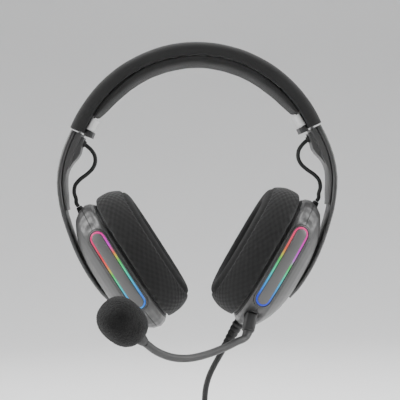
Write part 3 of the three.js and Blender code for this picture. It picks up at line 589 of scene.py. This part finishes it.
def smooth_route(points, per_span=8):
    """Centripetal curve through the points, as dense samples."""
    pts = [Vector(p) for p in points]
    pts = [pts[0] * 2 - pts[1], *pts, pts[-1] * 2 - pts[-2]]
    out = []
    for p0, p1, p2, p3 in zip(pts, pts[1:], pts[2:], pts[3:]):
        t = [0.0]
        for a, b in ((p0, p1), (p1, p2), (p2, p3)):
            t.append(t[-1] + max((b - a).length, 1e-9) ** 0.5)
        for i in range(per_span):
            x = t[1] + (t[2] - t[1]) * i / per_span
            a1 = (p0 * (t[1] - x) + p1 * (x - t[0])) / (t[1] - t[0])
            a2 = (p1 * (t[2] - x) + p2 * (x - t[1])) / (t[2] - t[1])
            a3 = (p2 * (t[3] - x) + p3 * (x - t[2])) / (t[3] - t[2])
            b1 = (a1 * (t[2] - x) + a2 * (x - t[0])) / (t[2] - t[0])
            b2 = (a2 * (t[3] - x) + a3 * (x - t[1])) / (t[3] - t[1])
            out.append((b1 * (t[2] - x) + b2 * (x - t[1])) / (t[2] - t[1]))
    out.append(pts[-2])
    return out


BOOT_X, BOOT_Y, BOOT_TOP, BOOT_END = 0.0064, 0.004, -0.0436, -0.076
LEAD_REST = [(9.8, 4.1, -140), (6.1, 4.5, -147.4), (3.6, 5, -155), (2.3, 5.4, -163), (2, 5.6, -171),
             (2, 5.6, -183)]
HANK_RUN = 66.0
HANK_INNER_R = 13.4
HANK_ROWS = 5
HANK_TOP = -176.3
D_MM = 4.4
ROW_Y = 5.6  # front row of the hank
HANK_OUTER_R = HANK_INNER_R + D_MM  # centre line of the outer layer
HANK_X = 2 + HANK_OUTER_R
HANK_MID = HANK_TOP - HANK_OUTER_R - D_MM / 2 - HANK_RUN / 2
TAIL_X = HANK_X - HANK_INNER_R
TAIL_Y = ROW_Y - D_MM - 0.3
ARC_STEPS = 18


def row_y(row):
    return ROW_Y + D_MM * row


def hank_arc(centre_z, start, from_r, to_r, from_row, to_row):
    """Half turn over the top or under the bottom, changing layer or row on the way."""
    pts = []
    for i in range(1, ARC_STEPS):
        t = i / ARC_STEPS
        ease = t * t * (3 - 2 * t)
        a = start + math.pi * t
        r = from_r + (to_r - from_r) * ease
        row = from_row + (to_row - from_row) * ease
        pts.append(band_point(HANK_X + r * math.cos(a), row_y(row), centre_z + r * math.sin(a)))
    return pts


def hank_route():
    """Outer layer from front to back, then the inner layer back to the front."""
    top, low = HANK_MID + HANK_RUN / 2, HANK_MID - HANK_RUN / 2
    turns = [(HANK_OUTER_R, row) for row in range(HANK_ROWS)]
    turns += [(HANK_INNER_R, row) for row in reversed(range(HANK_ROWS - 1))]
    pts = []
    r, row = turns[0]
    for step, (next_r, next_row) in enumerate(turns[1:]):
        last_outer = step == HANK_ROWS - 1
        pts += [band_point(HANK_X - r, row_y(row), top - HANK_RUN * k / 5) for k in range(6)]
        after_r = next_r if last_outer else r
        pts += hank_arc(low, math.pi, r, after_r, row, row)
        pts += [band_point(HANK_X + after_r, row_y(row), low + HANK_RUN * k / 5) for k in range(6)]
        pts += hank_arc(top, 0.0, after_r, next_r, row, next_row)
        r, row = next_r, next_row
    return pts


def cord_route():
    """Boot to plug: the lead, the hank, then the tail down in front of the lower loops."""
    exit_at = cup_point(BOOT_X, BOOT_Y, BOOT_END)
    after = cup_point(BOOT_X, BOOT_Y, BOOT_END - 0.007)
    lead = smooth_route([exit_at, after, *[band_point(*p) for p in LEAD_REST]], 8)
    low = HANK_MID - HANK_RUN / 2
    tail = [band_point(TAIL_X, row_y(0), HANK_MID + z) for z in (HANK_RUN / 2, 20, 8)]
    for i in range(1, 9):
        t = i / 8
        y = row_y(0) + (TAIL_Y - row_y(0)) * t * t * (3 - 2 * t)
        tail.append(band_point(TAIL_X, y, HANK_MID - 8 - t * (HANK_RUN / 2 - 8)))
    tail += [band_point(TAIL_X, TAIL_Y, low - z) for z in (8, 16, HANK_OUTER_R + D_MM / 2 + 4)]
    return lead + hank_route() + tail


cord_points = cord_route()
main_cord = round_curve("main_cord", cord_points, CORD_R)
dress(main_cord, "cup_left", "cord", "cable_lead", "cable_hank", "cable_tail")


def turned(name, profile, base, direction, sides=32):
    """Round piece from (radius, height) pairs about an axis; the ends close on the axis."""
    axis = Vector(direction).normalized()
    side = axis.orthogonal().normalized()
    other = axis.cross(side)
    verts = []
    for r, h in profile:
        for j in range(sides):
            a = 2 * math.pi * j / sides
            verts.append(Vector(base) + axis * h + (side * math.cos(a) + other * math.sin(a)) * r)
    faces = grid_faces(len(profile), sides)
    first, last = len(verts), len(verts) + 1
    verts += [Vector(base) + axis * profile[0][1], Vector(base) + axis * profile[-1][1]]
    end = (len(profile) - 1) * sides
    for j in range(sides):
        k = (j + 1) % sides
        faces.append((k, j, first))
        faces.append((end + j, end + k, last))
    piece = new_object(name, verts, faces)
    fix_normals(piece)
    return piece


def fix_normals(piece):
    edit = bmesh.new()
    edit.from_mesh(piece.data)
    bmesh.ops.recalc_face_normals(edit, faces=edit.faces)
    edit.to_mesh(piece.data)
    edit.free()
    return piece


def tube(name, points, radius, sides):
    """Mesh tube along points; radius is a number or a function of the distance along."""
    pts = [Vector(p) for p in points]
    count = len(pts)
    tangents = []
    for i in range(count):
        before = pts[i - 1] if i else pts[i]
        after = pts[i + 1] if i + 1 < count else pts[i]
        tangents.append((after - before).normalized())
    side = tangents[0].orthogonal().normalized()
    verts, values, travelled = [], [], 0.0
    for i, (place, ahead) in enumerate(zip(pts, tangents)):
        side = (side - ahead * side.dot(ahead)).normalized()
        other = ahead.cross(side)
        if i:
            travelled += (place - pts[i - 1]).length
        r = radius(travelled) if callable(radius) else radius
        for j in range(sides):
            a = 2 * math.pi * j / sides
            verts.append(place + (side * math.cos(a) + other * math.sin(a)) * r)
            values.append((travelled, r * a))
    faces = grid_faces(count, sides)
    faces += [tuple(range(sides)), tuple(reversed(range(len(verts) - sides, len(verts))))]
    piece = fix_normals(new_object(name, verts, faces))
    return shade(piece, 60), values


# ------------------------------------------------------------------ strain relief and tie
def make_boot():
    """Tapered relief with shallow rings towards its thin end."""
    length = BOOT_TOP - BOOT_END
    profile = [(0.0049, 0.0), (0.005, 0.0002), (0.005, 0.0012), (0.0048, 0.0014), (0.0038, 0.0015),
               (0.0038, 0.0098), (0.0041, 0.0101), (0.0043, 0.0106), (0.0043, 0.0118)]
    start, ribs = 0.0125, 5
    pitch = (length - start - 0.0015) / ribs
    for i in range(ribs):
        z = start + pitch * i
        r = 0.0041 - 0.0012 * (i / ribs)
        profile += [(r - 0.0003, z), (r - 0.0003, z + pitch * 0.16), (r - 0.0001, z + pitch * 0.24),
                    (r, z + pitch * 0.5), (r - 0.0001, z + pitch * 0.9)]
    profile += [(0.0026, length - 0.0012), (0.0026, length - 0.0002), (0.0023, length)]
    down = cup_point(0, 0, -1) - cup_point(0, 0, 0)
    boot = turned("cable_boot_finish", profile, cup_point(BOOT_X, BOOT_Y, BOOT_TOP), down)
    return dress(shade(boot, 38), "cup_left", "rubber", "cable_boot")


def make_tie():
    """Hook-and-loop strap round the hank."""
    half_w = (HANK_OUTER_R + D_MM / 2 + 0.4) / 1000
    half_d = (D_MM * HANK_ROWS / 2 + 0.4) / 1000
    centre = band_point(HANK_X, row_y((HANK_ROWS - 1) / 2), HANK_MID)
    thick, half_h, corner = 0.0011, 0.0068, 0.0022
    loop = []
    for sx, sy, a0 in ((1, 1, 0), (-1, 1, 90), (-1, -1, 180), (1, -1, 270)):
        for k in range(7):
            a = math.radians(a0 + 90 * k / 6)
            loop.append((sx * (half_w - corner), sy * (half_d - corner), math.cos(a), math.sin(a)))
    verts, values = [], []
    section = [(0, half_h), (0, -half_h), (thick * 0.5, -half_h - 0.0002), (thick, -half_h),
               (thick, half_h), (thick * 0.5, half_h + 0.0002)]
    run = 0.0
    last = None
    for cx, cy, ox, oy in loop:
        here = Vector((cx + ox * corner, cy + oy * corner))
        run += (here - last).length if last is not None else 0
        last = here
        for k, (t, h) in enumerate(section):
            x, y = cx + ox * (corner + t), cy + oy * (corner + t)
            sag = 0.0004 * math.sin(run * 260 + k) * (1 if k > 2 else 0)
            verts.append(centre + Vector((x + ox * sag, y + oy * sag, h)))
            values.append((run, h))
    faces = grid_faces(len(loop), len(section))
    n = len(section)
    faces += [((len(loop) - 1) * n + j, (len(loop) - 1) * n + (j + 1) % n, (j + 1) % n, j) for j in range(n)]
    tie = fix_normals(new_object("cable_tie_finish", verts, faces))
    set_uv(tie, values, run)
    shade(tie, 50)
    return dress(tie, "cup_left", "tie_fabric", "cable_tie")


boot = make_boot()
tie = make_tie()


# ------------------------------------------------------------------ link cables and boom
LINK_ROUTE = [
    (81.7, 0, 25.6), (78.2, -0.8, 22.4), (75.4, -1.6, 18), (75, -2.2, 12.8), (77.2, -2.5, 8),
    (81.6, -2.5, 3.9), (86.4, -2.3, 0.4), (90.1, -1.8, -3.9), (91, -1.2, -9.2), (89.8, -0.6, -14),
]
CUP_GLAND_X, CUP_GLAND_TOP = 0.0104, 0.0542


def make_link(name, side):
    """Short cable from the arm to the cup."""
    route = [band_point(side * x, y, z) for x, y, z in LINK_ROUTE]
    route += [cup_point(CUP_GLAND_X, 0, CUP_GLAND_TOP + h, side) for h in (0.0032, 0.0003)]
    link, values = tube(f"link_cable_{name}_finish", smooth_route(route, 6), 0.00145, 14)
    set_uv(link, values)
    link.data.materials.append(MATERIALS["rubber"])
    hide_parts(f"link_cable_{name}")
    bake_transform(link)
    return link


for name, side in (("left", 1), ("right", -1)):
    make_link(name, side)

PLUG_TOP = band_point(36.6, -25.4, -99.2)
PLUG_END = band_point(33, -30.6, -111)
PLUG_DIR = (PLUG_END - PLUG_TOP).normalized()
BOOM_ROUTE = [PLUG_END + PLUG_DIR * 0.0014] + [band_point(*p) for p in (
    (30.3, -34.2, -115.3), (24.8, -38.4, -117), (17.6, -43, -119.6), (3.4, -52.6, -123.2),
    (-9.6, -62.2, -124.2), (-21.2, -71.4, -121.8), (-31.4, -80, -116.2), (-38.2, -86, -109.8))]


def make_boom():
    """Rubber-covered bending boom with a soft collar where it enters the plug."""
    route = smooth_route([BOOM_ROUTE[0] - PLUG_DIR * 0.0012, *BOOM_ROUTE], 10)

    def radius(run):
        collar = 0.0009 * max(0.0, 1 - run / 0.006) ** 0.7
        return 0.00265 + collar

    boom, values = tube("boom_tube_finish", route, radius, 20)
    set_uv(boom, values)
    boom.data.materials.append(BOOM_RUBBER)
    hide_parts("boom_tube")
    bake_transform(boom)
    return boom


make_boom()
FOAM_AXIS = Vector((-11.6, -9, 12.8)).normalized()
COLLAR_BASE = BOOM_ROUTE[-1] + FOAM_AXIS * 0.0003
FOAM_R, FOAM_LEN, FOAM_FOOT = 0.0146, 0.034, 0.0066


def make_foam():
    """Egg of open-cell foam pulled over the capsule, its mouth turned in round the collar."""
    half = FOAM_LEN / 2
    profile = [(0.0046, 0.0092), (0.0046, 0.004)]
    steps = 44
    for i in range(steps + 1):
        a = 0.41 + (math.pi - 0.41) * i / steps
        r = max(FOAM_R * math.sin(a) ** 0.72 * (1 - 0.03 * math.cos(a)), 0.00004)
        profile.append((r, half * (1 - math.copysign(abs(math.cos(a)) ** 0.86, math.cos(a)))))
    first = profile[2]
    profile[1] = (0.0046, first[1] + 0.0008)
    profile.insert(2, (first[0] - 0.0005, first[1] - 0.0002))
    foam = turned("foam_windscreen_finish", profile, COLLAR_BASE + FOAM_AXIS * FOAM_FOOT, FOAM_AXIS, 96)
    split = foam.modifiers.new("finer", "SUBSURF")
    split.levels = split.render_levels = 1
    apply_modifiers(foam)

    def pores(place, normal):
        fine = noise.noise(place * 900) * 0.00028 + noise.noise(place * 2100) * 0.00016
        return normal * (fine + noise.noise(place * 130) * 0.0003 - 0.0001)

    displaced(foam, pores)
    shade(foam)
    return dress(foam, "mic_boom", "mic_foam", "foam_windscreen")


make_foam()


# ------------------------------------------------------------------ padded fabric
CLOTH_FRAMES = 20


def puff(piece, held, pressure, cap):
    """Runs a piece as cloth under air pressure and keeps the result; cap limits each point's move."""
    rest = np.array([v.co for v in piece.data.vertices])
    group = piece.vertex_groups.new(name="held")
    for index in held:
        group.add([int(index)], 1.0, "REPLACE")
    cloth = piece.modifiers.new("cloth", "CLOTH")
    settings = cloth.settings
    settings.quality = 6
    settings.mass = 0.3
    settings.tension_stiffness = settings.compression_stiffness = 30
    settings.shear_stiffness = 12
    settings.bending_stiffness = 2
    settings.use_pressure = True
    settings.uniform_pressure_force = pressure
    settings.vertex_group_mass = "held"
    settings.effector_weights.gravity = 0
    scene = bpy.context.scene
    scene.frame_start, scene.frame_end = 1, CLOTH_FRAMES
    cloth.point_cache.frame_start, cloth.point_cache.frame_end = 1, CLOTH_FRAMES
    for number in range(1, CLOTH_FRAMES + 1):
        scene.frame_set(number)
    graph = bpy.context.evaluated_depsgraph_get()
    moved = piece.evaluated_get(graph).to_mesh()
    swollen = np.array([v.co for v in moved.vertices])
    piece.modifiers.clear()
    scene.frame_set(1)
    step = swollen - rest
    size = np.linalg.norm(step, axis=1, keepdims=True)
    step *= np.minimum(1, cap / np.maximum(size, 1e-9))
    piece.data.vertices.foreach_set("co", (rest + step).ravel())
    piece.data.update()
    return piece


def remeshed(piece, voxel):
    grid = piece.modifiers.new("remesh", "REMESH")
    grid.mode = "VOXEL"
    grid.voxel_size = voxel
    return apply_modifiers(piece)


def finer(piece, levels):
    split = piece.modifiers.new("finer", "SUBSURF")
    split.levels = split.render_levels = levels
    return apply_modifiers(piece)


def oval_share(t, power=2.5):
    """Point of the cup's rounded-oval outline as shares of its half depth and half length."""
    c, s = math.cos(t), math.sin(t)
    return (math.copysign(abs(c) ** (2 / power), c), math.copysign(abs(s) ** (2 / power), s))


CUSHION_PROFILE = [
    (0.03, 0), (0.5, 0), (0.97, -0.03), (1.0, 0.08), (1.0, 0.2), (0.985, 0.42), (0.945, 0.56), (0.88, 0.7),
    (0.76, 0.86), (0.62, 0.95), (0.46, 1), (0.33, 1.0), (0.2, 0.985), (0.08, 0.89), (0.01, 0.7),
    (0, 0.5), (0, 0.25),
]
SEAM_X = CUSHION_BACK - 0.0202


def make_cushion(name, side):
    """Ear cushion: woven side, seam and a leatherette face. Its cloth run hardly moves it."""
    steps = 96
    deep = CUSHION_BACK - CUSHION_FACE - 0.0006
    verts = []
    for i in range(steps):
        oy, oz = oval_share(2 * math.pi * i / steps)
        iy, iz = oval_share(2 * math.pi * i / steps, 2.2)
        for share, height in CUSHION_PROFILE:
            y = HOLE_DEP * iy + (CUSHION_DEP * oy - HOLE_DEP * iy) * share
            z = HOLE_LEN * iz + (CUSHION_LEN * oz - HOLE_LEN * iz) * share
            verts.append(cup_point(CUSHION_BACK - deep * height, y, z * 1.02 + 0.0012, side))
    n = len(CUSHION_PROFILE)
    faces = grid_faces(steps, n)
    faces += [((steps - 1) * n + j, (steps - 1) * n + (j + 1) % n, (j + 1) % n, j) for j in range(n)]
    pad = fix_normals(new_object(f"ear_cushion_{name}_finish", verts, faces))
    remeshed(pad, 0.0026)
    local = [to_cup(v.co, side) for v in pad.data.vertices]
    held = [i for i, (x, y, z) in enumerate(local) if x > CUSHION_BACK - 0.0016]
    puff(pad, held, 5.0, 0.0016)
    finer(pad, 2)
    perimeter = 2 * math.pi * math.sqrt((CUSHION_LEN ** 2 + CUSHION_DEP ** 2) / 2)
    values, faceward = [], []

    def sewn(place, normal):
        x, y, z = to_cup(place, side)
        angle = math.atan2(z / CUSHION_LEN, y / CUSHION_DEP)
        reach = math.hypot(y / CUSHION_DEP, z / CUSHION_LEN)
        outer = reach > 0.8
        gap = x - SEAM_X
        crease = math.exp(-((gap / 0.00075) ** 2)) if outer else 0.0
        pucker = 0.00012 * math.sin(angle * 150) * math.exp(-((gap / 0.0025) ** 2)) if outer else 0.0
        values.append(((angle / (2 * math.pi) + 0.5) * perimeter, -x + (1 - reach) * 0.03))
        faceward.append(x < SEAM_X or not outer)
        return normal * -(0.0009 * crease + pucker)

    displaced(pad, sewn)
    set_uv(pad, values, perimeter)
    pad.data.materials.clear()
    dress(pad, f"cup_{name}", "cushion_fabric", f"ear_cushion_{name}")
    pad.data.materials.append(MATERIALS["leatherette"])
    for polygon in pad.data.polygons:
        polygon.use_smooth = True
        polygon.material_index = int(all(faceward[i] for i in polygon.vertices))
    return pad


for name, side in (("left", 1), ("right", -1)):
    make_cushion(name, side)


# ------------------------------------------------------------------ headband
BAND_HALF_WIDTH, BAND_END_HALF_WIDTH = 19.0, 15.0
COVER_END, PAD_END = 67.4, 58.6
COVER_EDGE_R = 89.0


def band_half_width(angle):
    t = abs(angle) / COVER_END
    return BAND_HALF_WIDTH + (BAND_END_HALF_WIDTH - BAND_HALF_WIDTH) * t * t


def on_band(angle, radius, y):
    a = math.radians(angle)
    return band_point(radius * math.sin(a), y, radius * math.cos(a))


def swept(name, section, end, steps):
    """Piece along the band's arc; section(angle) lists (radius, y) in millimetres."""
    verts, values = [], []
    count = len(section(0))
    for i in range(steps + 1):
        angle = -end + 2 * end * i / steps
        ring = section(angle)
        across = 0.0
        for k, (radius, y) in enumerate(ring):
            verts.append(on_band(angle, radius, y))
            if k:
                across += math.hypot(radius - ring[k - 1][0], y - ring[k - 1][1])
            values.append((math.radians(angle) * 0.093, across / 1000))
    faces = grid_faces(steps + 1, count)
    faces += [tuple(range(count)), tuple(reversed(range(len(verts) - count, len(verts))))]
    return fix_normals(new_object(name, verts, faces)), values


def smooth_section(points):
    """Rounds a half section given as (height, y)."""
    route = smooth_route([Vector((h, y, 0)) for h, y in points], 3)
    return [(p.x, p.y) for p in route]


def cover_section(angle):
    w = band_half_width(angle)
    swell = 1 + 0.11 * (abs(angle) / COVER_END) ** 3
    crown = [(-0.5, w - 1.0), (0.2, w - 0.15), (3, w + 0.15), (6.2, w - 0.15), (8.5, w - 2.3), (9.75, w - 7),
             (10.2, w - 12), (10.3, 0.01)]
    outer = smooth_section([(h * (swell if h > 8 else 1), y) for h, y in crown])[:-1]
    inner = [(7.5, w - 7.6), (6.8, w - 4.2), (5, w - 2.6), (-0.4, w - 2.6)]
    flip = [(h, -y) for h, y in reversed(outer)]
    hollow = [(h, -y) for h, y in reversed(inner)] + inner
    return [(COVER_EDGE_R + h, y) for h, y in outer + flip + hollow]


def make_cover():
    cover, values = swept("headband_cover_finish", cover_section, COVER_END, 132)

    def folds(place, normal):
        return normal * noise.noise(Vector((place.x * 60, place.y * 25, place.z * 60))) * 0.00022

    displaced(cover, folds)
    set_uv(cover, values)
    edge = cover.modifiers.new("hem", "BEVEL")
    edge.width, edge.segments = 0.0008, 3
    edge.limit_method, edge.angle_limit = "ANGLE", math.radians(60)
    apply_modifiers(cover)
    shade(cover, 60)
    return dress(cover, "band", "band_fabric", "headband_cover")


def pad_section(angle):
    w = band_half_width(angle) - 0.5
    fade = 1 - 0.5 * (abs(angle) / PAD_END) ** 10
    side = [(88.6, w - 0.6), (87.2, w + 0.1), (85.3, w + 0.25), (83.2, w - 1.5), (82, w - 5.5),
            (81.6, w - 10), (81.5, 0.01)]
    route = smooth_section(side)[:-1]
    soft = [(88.6 - (88.6 - r) * (fade if r < 84 else 1), y) for r, y in route]
    return soft + [(r, -y) for r, y in reversed(soft)]


def make_pad():
    pad, values = swept("headband_pad_finish", pad_section, PAD_END, 110)
    remeshed(pad, 0.0022)
    centre = band_point(0, 0, 0)
    held = [i for i, v in enumerate(pad.data.vertices) if (v.co - centre).xz.length > 0.0872]
    puff(pad, held, 4.0, 0.0008)
    finer(pad, 1)
    values = []

    def folds(place, normal):
        out = place - centre
        values.append((math.atan2(out.x, out.z) * 0.083, place.y))
        return normal * (noise.noise(Vector((out.x * 90, out.y * 40, out.z * 90))) * 0.00025 - 0.0003)

    displaced(pad, folds)
    set_uv(pad, values)
    shade(pad)
    return dress(pad, "band", "band_fabric", "headband_pad")


make_cover()
make_pad()


# ------------------------------------------------------------------ stage and light
def make_stage():
    """Pale floor that curves up into a round wall, so it looks the same from every side."""
    floor_z = cad_box[0].z - 0.004
    flat, bend, tall, sides = 1.6, 1.6, 3.2, 96
    rows = [(flat * (i / 4) ** 0.5, floor_z) for i in range(1, 5)]
    rows += [(flat + bend * math.sin(a), floor_z + bend * (1 - math.cos(a)))
             for a in (math.pi / 2 * i / 24 for i in range(1, 25))]
    rows.append((flat + bend, floor_z + tall))
    verts = [(r * math.cos(2 * math.pi * j / sides), r * math.sin(2 * math.pi * j / sides), z)
             for r, z in rows for j in range(sides)]
    faces = [tuple(reversed(f)) for f in grid_faces(len(rows), sides)] + [tuple(range(sides))]
    sweep = shade(new_object("backdrop", verts, faces))
    n = Nodes("backdrop_paint")
    cloud = n.noise(n.object_coords(), 3, 2)
    sweep.data.materials.append(n.finish(n.mix(cloud, grey(244), grey(247)), 0.9))


def area_light(name, place, aim, size, power):
    data = bpy.data.lights.new(name, "AREA")
    data.shape = "RECTANGLE"
    data.size, data.size_y = size
    data.energy = power
    lamp = bpy.data.objects.new(name, data)
    bpy.context.scene.collection.objects.link(lamp)
    lamp.location = place
    lamp.rotation_mode = "QUATERNION"
    lamp.rotation_quaternion = (Vector(aim) - Vector(place)).to_track_quat("-Z", "Y")


make_stage()
world = bpy.data.worlds.new("studio")
world.use_nodes = True
world.node_tree.nodes["Background"].inputs[0].default_value = (0.9, 0.92, 0.95, 1)
world.node_tree.nodes["Background"].inputs[1].default_value = 0.2
bpy.context.scene.world = world
area_light("key", (-1.15, -0.2, 0.6), (0, 0, -0.08), (0.6, 1.2), 34)
area_light("fill", (1.15, -0.2, 0.45), (0, 0, -0.1), (0.6, 1.2), 24)
area_light("rim", (0.1, 0.5, 1.3), (0, 0, -0.05), (1.4, 0.9), 38)
